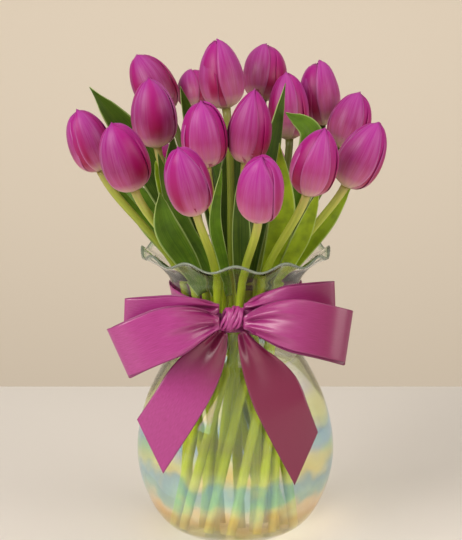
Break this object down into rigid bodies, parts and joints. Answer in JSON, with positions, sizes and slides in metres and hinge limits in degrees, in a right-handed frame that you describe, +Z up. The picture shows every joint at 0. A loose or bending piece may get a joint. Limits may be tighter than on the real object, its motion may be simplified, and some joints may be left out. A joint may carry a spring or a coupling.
{
  "type": "tulips in a glass vase",
  "caption": "Cut purple tulips with leaves in a round, ruffle-rimmed clear glass vase part filled with water, a wide satin bow tied round its neck.",
  "frame": {"origin": "centre of the flat underside of the vase, on the surface it stands on", "axes": "+Z up the vase's axis, -Y towards the viewer, the side that the bow is on, +X to the viewer's right"},
  "size_m": [0.2352, 0.2236, 0.3783],
  "materials": {
    "tulip_petal": "purple-pink petals, satin",
    "tulip_leaf": "green leaf, waxy",
    "tulip_stem": "yellow-green stem, smooth",
    "satin_ribbon": "mauve satin ribbon",
    "clear_glass": "clear, faintly iridescent",
    "water": "clear water"
  },
  "bodies": {
    "root": {"bloom_01": "tulip_petal", "bloom_02": "tulip_petal", "bloom_03": "tulip_petal", "bloom_04": "tulip_petal", "bloom_05": "tulip_petal", "bloom_06": "tulip_petal", "bloom_07": "tulip_petal", "bloom_08": "tulip_petal", "bloom_09": "tulip_petal", "bloom_10": "tulip_petal", "bloom_11": "tulip_petal", "bloom_12": "tulip_petal", "bloom_13": "tulip_petal", "bloom_14": "tulip_petal", "bloom_15": "tulip_petal", "bloom_16": "tulip_petal", "bloom_17": "tulip_petal", "bloom_18": "tulip_petal", "leaf_01": "tulip_leaf", "leaf_02": "tulip_leaf", "leaf_03": "tulip_leaf", "leaf_04": "tulip_leaf", "leaf_05": "tulip_leaf", "leaf_06": "tulip_leaf", "leaf_07": "tulip_leaf", "leaf_08": "tulip_leaf", "leaf_09": "tulip_leaf", "leaf_10": "tulip_leaf", "leaf_11": "tulip_leaf", "leaf_12": "tulip_leaf", "leaf_13": "tulip_leaf", "leaf_14": "tulip_leaf", "ribbon_band": "satin_ribbon", "ribbon_knot": "satin_ribbon", "ribbon_loop_lower_left": "satin_ribbon", "ribbon_loop_lower_right": "satin_ribbon", "ribbon_loop_upper_left": "satin_ribbon", "ribbon_loop_upper_right": "satin_ribbon", "ribbon_tail_left": "satin_ribbon", "ribbon_tail_right": "satin_ribbon", "stem_01": "tulip_stem", "stem_02": "tulip_stem", "stem_03": "tulip_stem", "stem_04": "tulip_stem", "stem_05": "tulip_stem", "stem_06": "tulip_stem", "stem_07": "tulip_stem", "stem_08": "tulip_stem", "stem_09": "tulip_stem", "stem_10": "tulip_stem", "stem_11": "tulip_stem", "stem_12": "tulip_stem", "stem_13": "tulip_stem", "stem_14": "tulip_stem", "stem_15": "tulip_stem", "stem_16": "tulip_stem", "stem_17": "tulip_stem", "stem_18": "tulip_stem", "vase": "clear_glass", "water": "water"}
  },
  "joints": []
}
